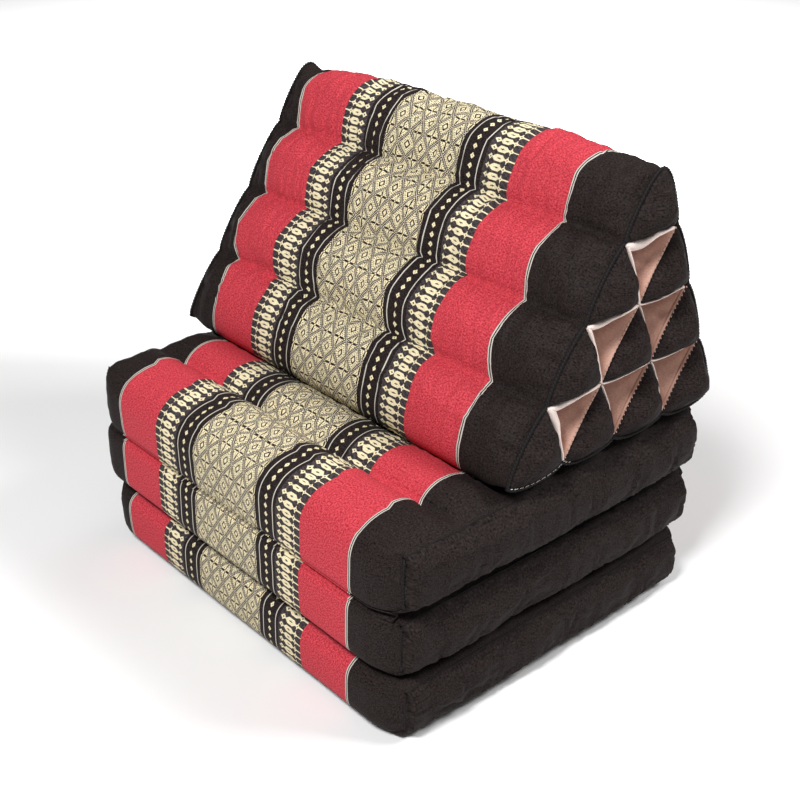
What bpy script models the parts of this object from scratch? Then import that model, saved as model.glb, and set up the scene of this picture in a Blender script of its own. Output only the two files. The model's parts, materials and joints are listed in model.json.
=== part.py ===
"""Thai triangle cushion: three filled mats folded on each other, with a filled triangle standing on them.

X runs along the tubes, left to right; the front is -Y; +Z is up. Sizes are in metres.
"""

import math
from collections import namedtuple

import bmesh
import bpy
from mathutils import Matrix, Vector

# Main sizes
MAT_TUBES = 6
MAT_PITCH = 0.0735
GAP = 0.0003

# How a mat is filled and sewn. Its front and back bulge past its end seams, and turn over from the crest of
# the last tube to EDGE_ANGLE, where the front or back proper begins.
FRONT_BULGE = 0.012
CORNER_ROUNDNESS = 0.15
EDGE_ANGLE = math.radians(40)
TOP_GROOVE = 0.018
HIDDEN_GROOVE = 0.006
GROOVE_LEFT_AT_END = 0.15
END_FADE = 0.060
CREST_RISE = 0.004
MAT_STEPS = (12, 24, 4)

# One row a mat, from the floor up. half is half its width, depth its size from front to back, off_x how
# far it lies to the right and off_y how far to the back. low_inset and low_lift say how far
# its lower end seam is drawn in and up, drop how far its upper end seam lies under the crests, and puff
# how far its end panel stands out. upper_round and lower_round say how its front and back turn over:
# 1 is a half round, and less is squarer.
Mat = namedtuple(
    "Mat", "name thickness half depth off_x off_y low_inset low_lift drop puff upper_round lower_round"
)
MATS = (
    Mat("mat_bottom", 0.0733, 0.274, 0.435, 0.006, -0.008, 0.004, 0.003, 0.001, 0.008, 0.50, 0.60),
    Mat("mat_middle", 0.0777, 0.278, 0.451, -0.006, 0.000, 0.001, 0.001, 0.001, 0.013, 0.30, 0.50),
    Mat("mat_top", 0.0858, 0.275, 0.453, 0.000, 0.001, 0.001, 0.001, 0.006, 0.014, 0.85, 0.30),
)
SEAT = sum(mat.thickness + GAP for mat in MATS)

# The triangle: its two lower seams and its ridge, each as (y, z) at the end seams
WEDGE_HALF = 0.277
WEDGE_OFF_X = -0.005
SEAM_LIFT = 0.0095
SEAM_SAG = 0.0075
FRONT_SEAM = Vector((-0.086, SEAT + SEAM_LIFT))
BACK_SEAM = Vector((0.233, SEAT + SEAM_LIFT))
RIDGE = Vector((0.115, SEAT + SEAM_LIFT + 0.291))
CELLS = 4
CELL_STEPS = 4
STEPS = CELLS * CELL_STEPS
WEDGE_STATIONS = 12

# How the triangle is filled: its tubes stand out by the bulge, less so at the end seams, and each side is
# crowned between its corners
TUBE_BULGE = 0.017
TUBE_BULGE_AT_END = 0.004
BASE_BULGE_AT_END = 0.009
TUBE_FADE = 0.050
FACE_CROWN = 0.010
CROWN_FADE = 0.130
RIDGE_ROUND = 0.011
CELL_PUFF = 0.010

# The pockets: one row a ring, with its depth, its size against the mouth and how far its walls swell in
Ring = namedtuple("Ring", "depth size swell")
POCKET_RINGS = (
    Ring(0.022, 0.84, 0.004),
    Ring(0.048, 0.34, 0.002),
)
LINING_THICKNESS = 0.0012
LINING_OFF_WALL = 0.0006
LIP = 0.003
LIP_SIZE = 0.975

# The fold strips: how far their middle line stands off the cloth behind, and how far they reach
STRIP_THICKNESS = 0.0016
STRIP_OFF = 0.0016
CREASE_HALF = 0.258
WEDGE_STRIP_HALF = 0.200
STRIP_STATIONS = 32
STRIP_UP_THE_BACK = 0.014
CREASE_OUT = 0.001

# Colour and roughness of each cloth
Cloth = namedtuple("Cloth", "name colour roughness")
PATTERNED = Cloth("patterned_cloth", (0.36, 0.05, 0.06), 0.85)
PINK = Cloth("pink_lining", (0.55, 0.30, 0.25), 0.8)


def clear_scene():
    """Removes whatever the new file starts with."""
    for thing in list(bpy.data.objects):
        bpy.data.objects.remove(thing)


def cloth_material(cloth):
    """One material for each cloth, made the first time it is asked for."""
    material = bpy.data.materials.get(cloth.name)
    if material is None:
        material = bpy.data.materials.new(cloth.name)
        material.use_nodes = True
        shader = material.node_tree.nodes["Principled BSDF"]
        shader.inputs["Base Color"].default_value = (*cloth.colour, 1)
        shader.inputs["Roughness"].default_value = cloth.roughness
        shader.inputs["Metallic"].default_value = 0
    return material


def finished(bm, name, cloth):
    """Turns a bmesh into a named, smooth-shaded object with its cloth."""
    bmesh.ops.recalc_face_normals(bm, faces=bm.faces)
    mesh = bpy.data.meshes.new(name)
    bm.to_mesh(mesh)
    bm.free()
    mesh.shade_smooth()
    mesh.set_sharp_from_angle(angle=math.radians(50))
    mesh.materials.append(cloth_material(cloth))
    thing = bpy.data.objects.new(name, mesh)
    bpy.context.scene.collection.objects.link(thing)
    return thing


def smooth(t):
    """An S-shaped step from 0 to 1."""
    t = min(1.0, max(0.0, t))
    return t * t * (3 - 2 * t)


def bump(t):
    """The height of a stuffed tube across its width: 0 in the groove on each side, 1 on the crest."""
    return 1 - (2 * t - 1) ** 2


def flat_bump(t):
    """The same tube pressed flat, so that the middle half of its width is level."""
    return min(1.0, bump(t) / 0.75)


def crowded(u):
    """Moves evenly spaced stations closer together towards the two ends."""
    return math.copysign(1 - (1 - abs(u)) ** 1.6, u)


def near_end(x, half, fade):
    """0 along the middle, rising to 1 at the end seam."""
    return smooth((abs(x) - (half - fade)) / fade)


# The mats

def mat_skin(mat, floor, x, v, side):
    """(y, z) on a mat's skin at x from its middle. side runs from -1, the underside, to 1, the top, and
    between them only at its rounded front and back."""
    end = near_end(x, mat.half, END_FADE)
    upper = floor + mat.thickness - mat.drop * end
    lower = floor + mat.low_lift * end
    crest = (MAT_TUBES - 1) / 2 * MAT_PITCH
    crest_share = 1 - 1 / MAT_TUBES
    if abs(v) > crest_share + 1e-6:
        out = (abs(v) - crest_share) / (1 - crest_share)
        angle = abs(side) * (math.pi / 2 - (math.pi / 2 - EDGE_ANGLE) * out)
        power = mat.upper_round if side > 0 else mat.lower_round
        power += (CORNER_ROUNDNESS - power) * end
        reach = mat.depth / 2 + FRONT_BULGE * (1 - end) - crest
        y = math.copysign(crest + reach * math.cos(angle) ** power, v)
        rise = (upper - lower) / 2 * math.sin(angle) ** power
        return y + mat.off_y, (upper + lower) / 2 + math.copysign(rise, side)
    y = v / crest_share * crest
    across = (v + 1) / 2 * MAT_TUBES % 1
    fade = 1 - end * (1 - GROOVE_LEFT_AT_END)
    if mat is MATS[-1] and side > 0:
        rise = CREST_RISE * (1 - end) * (y < FRONT_SEAM.x)
        shape = bump(across) if y < FRONT_SEAM.x else flat_bump(across)
        return y + mat.off_y, upper + rise - (TOP_GROOVE + rise) * fade * (1 - shape)
    dent = HIDDEN_GROOVE * fade * (1 - flat_bump(across))
    return y + mat.off_y, (upper - dent) if side > 0 else (lower + dent)


def mat_point(mat, floor, u, v, w):
    """Carries a point of a cube from -1 to 1 each way onto the mat: u is along X, v along Y and w up."""
    share = (w + 1) / 2
    station = crowded(u) * mat.half
    if abs(v) > 1 - 1e-6:
        y, z = mat_skin(mat, floor, station, v, w)
    else:
        low, high = mat_skin(mat, floor, station, v, -1), mat_skin(mat, floor, station, v, 1)
        y, z = (a + (b - a) * share for a, b in zip(low, high))
    x = crowded(u) * (mat.half - mat.low_inset * (1 - share))
    if abs(u) > 1 - 1e-6:
        x += math.copysign(mat.puff * (1 - w * w) * (1 - v ** 6), u)
    return Vector((x + mat.off_x, y, z))


def make_mat(mat, floor):
    """A cube cut into a grid, with each of its points carried onto the mat's skin."""
    bm = bmesh.new()
    bmesh.ops.create_cube(bm, size=2)
    for axis, steps in enumerate(MAT_STEPS):
        along = [e for e in bm.edges if abs(e.verts[0].co[axis] - e.verts[1].co[axis]) > 1.9]
        bmesh.ops.subdivide_edges(bm, edges=along, cuts=steps - 1, use_grid_fill=True)
    for vert in bm.verts:
        vert.co = mat_point(mat, floor, *vert.co)
    return finished(bm, mat.name, PATTERNED)


# The triangle

def end_point(down, across):
    """(y, z) in the end triangle: down is the share of the way from ridge to base, across the share of the
    base's length that the point lies from the front seam's side."""
    return RIDGE * (1 - down) + FRONT_SEAM * (down - across) + BACK_SEAM * across


CENTRE = end_point(2 / 3, 1 / 3)
SIDES = ((FRONT_SEAM, RIDGE), (RIDGE, BACK_SEAM), (BACK_SEAM, FRONT_SEAM))


def outward(start, stop, middle=CENTRE):
    """The direction across the line from start to stop that leads away from the middle."""
    along = (stop - start).normalized()
    across = Vector((-along.y, along.x))
    return across if across.dot(start - middle) > 0 else -across


def skin_point(x, step):
    """A point of the triangle's skin at x: step counts from the front seam over the ridge and back round."""
    side, along = divmod(step, STEPS)
    start, stop = SIDES[side]
    share = along / STEPS
    end = near_end(x, WEDGE_HALF, TUBE_FADE)
    end_bulge = BASE_BULGE_AT_END if start is BACK_SEAM else TUBE_BULGE_AT_END
    bulge = TUBE_BULGE + (end_bulge - TUBE_BULGE) * end
    crown = FACE_CROWN * (1 - near_end(x, WEDGE_HALF, CROWN_FADE)) * math.sqrt(bump(share))
    point = start + (stop - start) * share
    point += outward(start, stop) * (crown + bulge * bump(share * CELLS % 1))
    if along == 0 and start is RIDGE:
        point -= (RIDGE - CENTRE).normalized() * RIDGE_ROUND
    elif along == 0:
        point.y = start.y - SEAM_SAG * (1 - end)
    return Vector((x + WEDGE_OFF_X, point.x, max(point.y, SEAT)))


def end_x(side):
    """Where the end seams lie, at the left (-1) or right (1) end."""
    return side * WEDGE_HALF + WEDGE_OFF_X


def bridge(bm, ring_a, ring_b):
    """Quads between two closed rings with the same number of points."""
    for n, (a, b) in enumerate(zip(ring_a, ring_b)):
        bm.faces.new((ring_a[n - 1], a, b, ring_b[n - 1]))


def down_cells():
    """The three lattice nodes, as (row, place), of each end's pockets: bottom, front and back."""
    for row in range(1, CELLS):
        for place in range(row):
            yield (row + 1, place + 1), (row, place), (row, place + 1)


def mouth_steps(nodes):
    """The grid places round a pocket's mouth, with how far each stands from the mouth's corners."""
    for (row, place), (next_row, next_place) in zip(nodes, nodes[1:] + nodes[:1]):
        for step in range(CELL_STEPS):
            down = row * CELL_STEPS + (next_row - row) * step
            across = place * CELL_STEPS + (next_place - place) * step
            yield down, across, bump(step / CELL_STEPS)


def pocket_ring(nodes, ring, side, off_wall=0.0):
    """The points of one ring down a pocket's wall."""
    middle = sum((end_point(row / CELLS, place / CELLS) for row, place in nodes), Vector((0, 0))) / 3
    points = []
    for down, across, swell in mouth_steps(nodes):
        spot = end_point(down / STEPS, across / STEPS)
        inward = (middle - spot).normalized()
        spot = middle + (spot - middle) * ring.size + inward * (ring.swell * swell + off_wall)
        points.append(Vector((end_x(side) - side * ring.depth, spot.x, spot.y)))
    return points


def end_grid(bm, side, rim):
    """The vertices of one end by (row, place) from the ridge: the rim's own at the edge, and inside it new
    ones, puffed out in the stuffed cells. Inside the pockets there are none."""
    grid = {}
    for row in range(STEPS + 1):
        for place in range(row + 1):
            a, b = row % CELL_STEPS, place % CELL_STEPS
            if place == 0:
                grid[row, place] = rim[STEPS - row]
            elif place == row:
                grid[row, place] = rim[STEPS + row]
            elif row == STEPS:
                grid[row, place] = rim[3 * STEPS - place]
            elif not b > a > 0:
                inside = 27 * (CELL_STEPS - a) * (a - b) * b / CELL_STEPS ** 3
                puff = CELL_PUFF * inside ** 0.6 if a > b else 0
                spot = end_point(row / STEPS, place / STEPS)
                grid[row, place] = bm.verts.new((end_x(side) + side * puff, spot.x, spot.y))
    return grid


def close_end(bm, side, rim):
    """One end of the triangle: ten puffed cells, and six pockets drawn in between them."""
    grid = end_grid(bm, side, rim)
    for row in range(STEPS):
        for place in range(row + 1):
            a, b = row % CELL_STEPS, place % CELL_STEPS
            if b <= a:
                bm.faces.new((grid[row, place], grid[row + 1, place], grid[row + 1, place + 1]))
            if b < a:
                bm.faces.new((grid[row, place], grid[row + 1, place + 1], grid[row, place + 1]))
    for nodes in down_cells():
        outer = [grid[down, across] for down, across, swell in mouth_steps(nodes)]
        for ring in POCKET_RINGS:
            inner = [bm.verts.new(point) for point in pocket_ring(nodes, ring, side)]
            bridge(bm, outer, inner)
            outer = inner
        bm.faces.new(outer)


def make_wedge():
    """Rings of skin along the tubes, closed by the two ends."""
    bm = bmesh.new()
    stations = [crowded(2 * n / WEDGE_STATIONS - 1) * WEDGE_HALF for n in range(WEDGE_STATIONS + 1)]
    rings = [[bm.verts.new(skin_point(x, step)) for step in range(3 * STEPS)] for x in stations]
    for ring_a, ring_b in zip(rings, rings[1:]):
        bridge(bm, ring_a, ring_b)
    close_end(bm, -1, rings[0])
    close_end(bm, 1, rings[-1])
    return finished(bm, "wedge", PATTERNED)


def make_lining(name, nodes, side):
    """A thin funnel of lining cloth just off a pocket's wall, with its lip out past the mouth."""
    bm = bmesh.new()
    lip = Ring(-LIP, LIP_SIZE, 0.0)
    floor = POCKET_RINGS[-1]
    rings = (lip, lip._replace(depth=0.0), *POCKET_RINGS[:-1], floor._replace(depth=floor.depth - LINING_OFF_WALL))
    outer = None
    for ring in rings:
        inner = [bm.verts.new(point) for point in pocket_ring(nodes, ring, side, LINING_OFF_WALL)]
        if outer:
            bridge(bm, outer, inner)
        outer = inner
    bm.faces.new(outer)
    lining = finished(bm, name, PINK)
    wall = lining.modifiers.new("wall", "SOLIDIFY")
    wall.thickness = LINING_THICKNESS
    wall.offset = -1
    return lining


# The fold strips

def turned_edge(mat, floor, x, back, side):
    """Three (y, z) points down a mat's rounded front (back -1) or back (1), from near its top or underside."""
    places = ((1 - 2 / MAT_STEPS[1], side), (1, side), (1, side / 2))
    return [Vector(mat_skin(mat, floor, x - mat.off_x, back * v, w)) for v, w in places]


def stood_off(start, stop, middle):
    """The point at stop, moved off the skin so that a strip there leaves a small gap."""
    return stop + outward(start, stop, middle) * STRIP_OFF


def crease_line(lower, upper, floor, back, x):
    """A strip's middle line between two mats: off the upper one's round, into the crease, and onto the
    lower one's."""
    level = floor + lower.thickness + GAP
    under = turned_edge(upper, level, x, back, -1)
    over = turned_edge(lower, floor, x, back, 1)
    middles = [Vector((0, level + upper.thickness / 2)), Vector((0, floor + lower.thickness / 2))]
    crease = Vector((back * (max(abs(under[0].x), abs(over[0].x)) + CREASE_OUT), level - GAP / 2))
    return [stood_off(*under[:2], middles[0]), crease, stood_off(*over[:2], middles[1])]


def wedge_line(mat, floor, x):
    """The same behind the triangle: up from the top mat's back, past the back seam and up the triangle."""
    over = turned_edge(mat, floor, x, 1, 1)
    middle = Vector((0, floor + mat.thickness / 2))
    seam, above = (skin_point(x - WEDGE_OFF_X, step).yz for step in (2 * STEPS, 2 * STEPS - 1))
    up = (above - seam).normalized()
    seam_off = seam + outward(seam, above) * STRIP_OFF
    half_way = (over[1] + over[2]) / 2
    return [stood_off(over[1], half_way, middle), stood_off(half_way, over[1], middle),
            seam_off, seam_off + up * STRIP_UP_THE_BACK]


def make_strip(name, half, line_at):
    """A strip of cover cloth along X. line_at gives its middle line at x."""
    bm = bmesh.new()
    rows = []
    for n in range(STRIP_STATIONS + 1):
        x = half * (2 * n / STRIP_STATIONS - 1)
        rows.append([bm.verts.new((x, *point)) for point in line_at(x)])
    for here, there in zip(rows, rows[1:]):
        for n in range(len(here) - 1):
            bm.faces.new((here[n], there[n], there[n + 1], here[n + 1]))
    strip = finished(bm, name, PATTERNED)
    wall = strip.modifiers.new("wall", "SOLIDIFY")
    wall.thickness = STRIP_THICKNESS
    wall.offset = 0
    wall.use_even_offset = True
    return strip


def centre_all():
    """Moves all the pieces so that the origin lies under the middle of their common box."""
    spots = [vert.co for thing in bpy.data.objects for vert in thing.data.vertices]
    middle = [(min(spot[axis] for spot in spots) + max(spot[axis] for spot in spots)) / 2 for axis in (0, 1)]
    for thing in bpy.data.objects:
        thing.data.transform(Matrix.Translation((-middle[0], -middle[1], 0)))


def main():
    """Builds the cushion from the floor up."""
    clear_scene()
    floors = [0.0]
    for mat in MATS:
        make_mat(mat, floors[-1])
        floors.append(floors[-1] + mat.thickness + GAP)
    bottom, middle, top = MATS
    make_wedge()
    for side, word in ((-1, "left"), (1, "right")):
        for number, nodes in enumerate(down_cells(), 1):
            make_lining(f"lining_{word}_{number}", nodes, side)
    make_strip("fold_front", CREASE_HALF, lambda x: crease_line(middle, top, floors[1], -1, x))
    make_strip("fold_back", CREASE_HALF, lambda x: crease_line(bottom, middle, floors[0], 1, x))
    make_strip("fold_wedge", WEDGE_STRIP_HALF, lambda x: wedge_line(top, floors[2], x))
    centre_all()


main()
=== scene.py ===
# %% [markdown]
# # A triangle cushion on three folded mats
# The real thing is sewn from one long banded cloth. Three channelled mats are folded onto each other in a
# zigzag, and a filled triangle stands on the back of the stack. This lesson dresses the plain solids of the
# frame: every filled section is built again as a fine mesh with its own cloth coordinates, so that the woven
# bands bend into each sewn groove as they do on the real cushion. All sizes are in metres, X runs along the
# tubes, the front is -Y and Z is up.

# %% Open the frame
import json
import math
from collections import namedtuple

import bmesh
import bpy
from mathutils import Matrix, Vector, noise

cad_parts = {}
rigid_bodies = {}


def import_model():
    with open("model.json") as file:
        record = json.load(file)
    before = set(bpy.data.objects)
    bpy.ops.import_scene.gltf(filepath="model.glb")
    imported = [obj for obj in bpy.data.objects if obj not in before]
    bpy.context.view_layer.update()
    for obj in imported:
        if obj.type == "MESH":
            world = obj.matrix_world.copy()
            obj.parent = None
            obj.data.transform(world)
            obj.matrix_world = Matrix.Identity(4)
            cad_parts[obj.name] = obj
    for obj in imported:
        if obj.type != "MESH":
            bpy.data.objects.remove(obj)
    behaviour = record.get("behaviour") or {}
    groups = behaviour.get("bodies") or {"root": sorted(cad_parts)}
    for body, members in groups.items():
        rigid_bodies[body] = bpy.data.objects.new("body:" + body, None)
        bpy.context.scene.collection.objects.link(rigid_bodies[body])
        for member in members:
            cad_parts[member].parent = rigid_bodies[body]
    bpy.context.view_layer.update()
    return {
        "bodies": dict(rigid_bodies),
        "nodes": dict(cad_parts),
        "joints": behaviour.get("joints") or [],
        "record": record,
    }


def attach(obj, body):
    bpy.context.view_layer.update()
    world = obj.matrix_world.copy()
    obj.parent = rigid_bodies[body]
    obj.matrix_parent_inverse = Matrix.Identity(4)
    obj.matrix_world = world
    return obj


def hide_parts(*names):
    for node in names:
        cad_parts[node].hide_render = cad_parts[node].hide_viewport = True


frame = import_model()

# %% [markdown]
# ## Camera
# The camera comes first, because everything else is judged through it. It looks down at the stack's front
# right corner from about chest height, a metre and a half away. Its place was found by matching the corners
# of the mats and the triangle, and it is written as a direction, a distance and a point to look at.

# %% Place the camera
WIDTH = 0.55
VIEW_AZIMUTH = math.radians(48.3078)
VIEW_ELEVATION = math.radians(28.0255)
VIEW_ROLL = math.radians(0.1557)
VIEW_DISTANCE = 2.8041 * WIDTH
VIEW_LENS = 1316.36 / 800 * 36
FOLD_CENTRE = Vector((0.0040, -0.0022, 0.0))
VIEW_TARGET = Vector((0.013, 0.0153, 0.3764)) * WIDTH + FOLD_CENTRE


def add_camera():
    """The camera, turned so that its right, up and backward directions are known one by one."""
    back = Vector((
        math.sin(VIEW_AZIMUTH) * math.cos(VIEW_ELEVATION),
        -math.cos(VIEW_AZIMUTH) * math.cos(VIEW_ELEVATION),
        math.sin(VIEW_ELEVATION),
    ))
    level = Vector((math.cos(VIEW_AZIMUTH), math.sin(VIEW_AZIMUTH), 0))
    over = back.cross(level)
    right = math.cos(VIEW_ROLL) * level + math.sin(VIEW_ROLL) * over
    up = math.cos(VIEW_ROLL) * over - math.sin(VIEW_ROLL) * level
    turned = Matrix((right, up, back)).transposed().to_4x4()
    turned.translation = VIEW_TARGET + back * VIEW_DISTANCE
    bpy.ops.object.camera_add()
    camera = bpy.context.object
    camera.matrix_world = turned
    camera.data.sensor_width = 36
    camera.data.lens = VIEW_LENS
    bpy.context.scene.camera = camera
    print("camera at", [round(c, 3) for c in turned.translation], "lens", round(VIEW_LENS, 1))


add_camera()

# %% [markdown]
# ## Floor and light
# A plain pale floor and soft light from large lamps keep all attention on the cloth. The key lamp hangs high
# in front, a little to the right, a second one high behind on the right draws out the folds of the side
# panels, and a pale sky fills the shadows. One lamp faces away, and only whitens the floor behind.

# %% Set the stage
def plain_material(name, colour, roughness):
    """A material of one colour, for what isn't part of the cushion."""
    material = bpy.data.materials.new(name)
    material.use_nodes = True
    shader = material.node_tree.nodes["Principled BSDF"]
    shader.inputs["Base Color"].default_value = (*colour, 1)
    shader.inputs["Roughness"].default_value = roughness
    shader.inputs["Specular IOR Level"].default_value = 0.15
    return material


def add_lamp(name, place, aim, size, power):
    """A square soft lamp that faces the point aim."""
    bpy.ops.object.light_add(type="AREA", location=place)
    lamp = bpy.context.object
    lamp.name = name
    lamp.data.size = size
    lamp.data.energy = power
    lamp.rotation_euler = (Vector(aim) - Vector(place)).to_track_quat("-Z", "Y").to_euler()


bpy.ops.mesh.primitive_plane_add(size=12, location=(0, 0, -0.0005))
floor = bpy.context.object
floor.name = "floor"
floor.data.materials.append(plain_material("pale_floor", (0.93, 0.93, 0.93), 0.9))
add_lamp("key", (0.7, -1.7, 2.6), (0, 0, 0.25), 0.7, 86)
add_lamp("side", (1.7, 1.4, 2.4), (0, 0, 0.25), 0.8, 52)
add_lamp("rim", (-0.4, 1.6, 2.6), (0, 0, 0.3), 1.6, 14)
add_lamp("back_wash", (-0.9, 0.9, 1.6), (-3.4, 3.1, 0), 1.2, 130)
world = bpy.data.worlds.new("pale_sky")
world.use_nodes = True
world.node_tree.nodes["Background"].inputs["Color"].default_value = (1.0, 1.0, 1.0, 1)
world.node_tree.nodes["Background"].inputs["Strength"].default_value = 0.12
bpy.context.scene.world = world
bpy.context.scene.view_settings.view_transform = "Standard"

# %% [markdown]
# ## Sizes
# The named sizes are those of the solids, with softer corners and fuller cells than a solid needs. A mat is a
# row of six stuffed tubes, with its thickness, half its width, its depth, how far it has slipped on the stack,
# and how round its front and back are.

# %% Name the sizes
GAP = 0.0003
MAT_TUBES = 6
MAT_PITCH = 0.0735
FRONT_BULGE = 0.012
CORNER_ROUNDNESS = 0.40
EDGE_ANGLE = math.radians(40)
TOP_GROOVE = 0.018
HIDDEN_GROOVE = 0.006
GROOVE_LEFT_AT_END = 0.15
END_FADE = 0.045
CREST_RISE = 0.004
MAT_CUTS = (168, 144, 36)
Mat = namedtuple(
    "Mat", "name thickness half depth off_x off_y low_inset low_lift drop puff upper_round lower_round"
)
MATS = (
    Mat("mat_bottom", 0.0733, 0.274, 0.435, 0.006, -0.008, 0.004, 0.003, 0.001, 0.008, 0.50, 0.60),
    Mat("mat_middle", 0.0777, 0.278, 0.451, -0.006, 0.000, 0.001, 0.001, 0.001, 0.013, 0.30, 0.50),
    Mat("mat_top", 0.0858, 0.275, 0.453, 0.000, 0.001, 0.001, 0.001, 0.006, 0.014, 0.85, 0.30),
)
SEAT = sum(mat.thickness + GAP for mat in MATS)

WEDGE_HALF = 0.277
WEDGE_OFF_X = -0.005
SEAM_LIFT = 0.0095
SEAM_SAG = 0.0075
FRONT_SEAM = Vector((-0.086, SEAT + SEAM_LIFT))
BACK_SEAM = Vector((0.233, SEAT + SEAM_LIFT))
RIDGE = Vector((0.115, SEAT + SEAM_LIFT + 0.291))
CELLS = 4
CELL_STEPS = 20
STEPS = CELLS * CELL_STEPS
WEDGE_STATIONS = 220
TUBE_BULGE = 0.017
TUBE_BULGE_AT_END = 0.0055
BASE_BULGE_AT_END = 0.009
TUBE_FADE = 0.034
FACE_CROWN = 0.010
CROWN_FADE = 0.130
RIDGE_PULL = 0.026
RIDGE_PULL_AT_END = 0.039
CELL_PUFF = 0.018
POCKET_DEPTH = 0.050
EDGE_BOW_STEPS = 0.5
EDGE_ROUND_TOP = 0.028
EDGE_ROUND_LOW = 0.018
CORNER_ROUND = 0.024

# %% [markdown]
# ## Small helpers
# A stuffed tube is highest on its crest and sharp in the groove where it is sewn through, so one curve
# describes every tube on the cushion. The other helpers say how near a point is to an end seam, and give
# smooth noise for the hand-made unevenness.

# %% Curves of a stuffed cloth
def smooth(t):
    """An S-shaped step from 0 to 1."""
    t = min(1.0, max(0.0, t))
    return t * t * (3 - 2 * t)


def tube(across):
    """The height of a stuffed tube across its width: 0 in the groove on each side, 1 on the crest."""
    return (1 - abs(2 * across - 1) ** 2.2) ** 0.7


def pressed_tube(across):
    """The same tube pressed flat, so that the middle of its width is level."""
    return min(1.0, tube(across) / 0.75)


def near_end(x, half, fade):
    """0 along the middle, rising to 1 at the end seam."""
    return smooth((abs(x) - (half - fade)) / fade)


def ripple(*place):
    """Smooth noise from -1 to 1."""
    return noise.noise(Vector((*place, 0.0, 0.0)[:3]))


# %% [markdown]
# ## Cloth coordinates
# The woven bands run round the tubes, so the pattern can't be laid on flat. Each mesh gets a UV map in
# metres of cloth: U is the distance along X from the middle of the pattern, and V the length of cloth
# measured over tubes and into grooves. A side panel is cut from the plain black part of the cloth, so its U
# starts out beyond the last band.

# %% Lay a UV map over a mesh
BLACK_PART = 0.80


def lay_cloth(piece, uv_at):
    """Gives each corner of each face its place on the cloth. uv_at takes the face and the point's index."""
    layer = piece.data.uv_layers.new(name="cloth")
    for face in piece.data.polygons:
        for loop in face.loop_indices:
            layer.data[loop].uv = uv_at(face, piece.data.loops[loop].vertex_index)


def finish_piece(piece, *materials):
    """Materials, smooth shading, and the parent and place that every piece has."""
    for material in materials:
        piece.data.materials.append(material)
    piece.data.shade_smooth()
    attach(piece, "root")
    triangles = sum(len(face.vertices) - 2 for face in piece.data.polygons)
    print(piece.name, "has", triangles, "triangles")


def fresh(name, add, **how):
    """Adds a primitive with nothing else selected, and names it."""
    bpy.ops.object.select_all(action="DESELECT")
    add(**how)
    piece = bpy.context.object
    piece.name = piece.data.name = name
    return piece


# %% [markdown]
# ## The pattern, as arithmetic
# The bands are charted from a ruler and a repeat: where each line runs, how long one motif is, and
# which simple shapes it is made of. Each shape is a formula of the distance to its middle, so a small class
# lets the shader's Math nodes be written as ordinary sums.

# %% Write Math nodes as sums
class Wire:
    """A number that flows through a node tree, with + - * and comparisons that add Math nodes."""

    def __init__(self, tree, socket):
        self.tree = tree
        self.socket = socket

    def math(self, operation, *others):
        """A Math node on this wire and the others."""
        node = self.tree.nodes.new("ShaderNodeMath")
        node.operation = operation
        for slot, value in zip(node.inputs, (self, *others)):
            if isinstance(value, Wire):
                self.tree.links.new(value.socket, slot)
            else:
                slot.default_value = value
        return Wire(self.tree, node.outputs[0])

    def __add__(self, other):
        return self.math("ADD", other)

    def __sub__(self, other):
        return self.math("SUBTRACT", other)

    def __mul__(self, other):
        return self.math("MULTIPLY", other)

    def __truediv__(self, other):
        return self.math("DIVIDE", other)

    def __abs__(self):
        return self.math("ABSOLUTE")

    def below(self, limit):
        """1 where this is less than the limit, else 0."""
        return self.math("LESS_THAN", limit)

    def above(self, limit):
        """1 where this is more than the limit, else 0."""
        return self.math("GREATER_THAN", limit)

    def between(self, low, high):
        """1 from low to high, else 0."""
        return self.above(low) * self.below(high)

    def least(self, other):
        """The smaller of the two."""
        return self.math("MINIMUM", other)

    def most(self, other):
        """The larger of the two."""
        return self.math("MAXIMUM", other)

    def to_nearest(self, pitch, start=0.0):
        """The distance to the nearest of many places a pitch apart."""
        return (self - start).math("PINGPONG", pitch / 2)

    def snapped(self, step):
        """This, in steps of one thread."""
        return self.math("SNAP", step)


def mixed(tree, mask, under, over):
    """A colour that is under where the mask is 0 and over where it is 1."""
    node = tree.nodes.new("ShaderNodeMix")
    node.data_type = "RGBA"
    for slot, value in ((0, mask), (6, under), (7, over)):
        value = value.socket if isinstance(value, Wire) else value
        if hasattr(value, "is_output"):
            tree.links.new(value, node.inputs[slot])
        else:
            node.inputs[slot].default_value = (*value, 1)
    return node.outputs[2]


def new_group(name, takes, gives):
    """An empty node group with float inputs and its named outputs, and its tree's ends."""
    tree = bpy.data.node_groups.new(name, "ShaderNodeTree")
    for socket, value in takes.items():
        tree.interface.new_socket(socket, in_out="INPUT", socket_type="NodeSocketFloat").default_value = value
    for socket, kind in gives.items():
        tree.interface.new_socket(socket, in_out="OUTPUT", socket_type=kind)
    start = tree.nodes.new("NodeGroupInput")
    end = tree.nodes.new("NodeGroupOutput")
    return tree, start, end


# %% [markdown]
# ## Threads
# Seen close, the cloth is a plain weave with slubs: thicker stretches of thread that catch more light. Two
# noises stretched along the two thread directions give the mottled, denim-like look of the black parts and
# the fine grain of the red ones. The group is used in every cloth, each with its own amounts.

# %% Build the thread group
def noise_at(tree, u, v, across, along, detail=2.0):
    """Noise that is fine across one thread direction and long along the other, from about 0 to 1."""
    place = tree.nodes.new("ShaderNodeCombineXYZ")
    tree.links.new((u * across).socket, place.inputs[0])
    tree.links.new((v * along).socket, place.inputs[1])
    node = tree.nodes.new("ShaderNodeTexNoise")
    node.inputs["Scale"].default_value = 1.0
    node.inputs["Detail"].default_value = detail
    tree.links.new(place.outputs[0], node.inputs["Vector"])
    return Wire(tree, node.outputs["Fac"])


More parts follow.
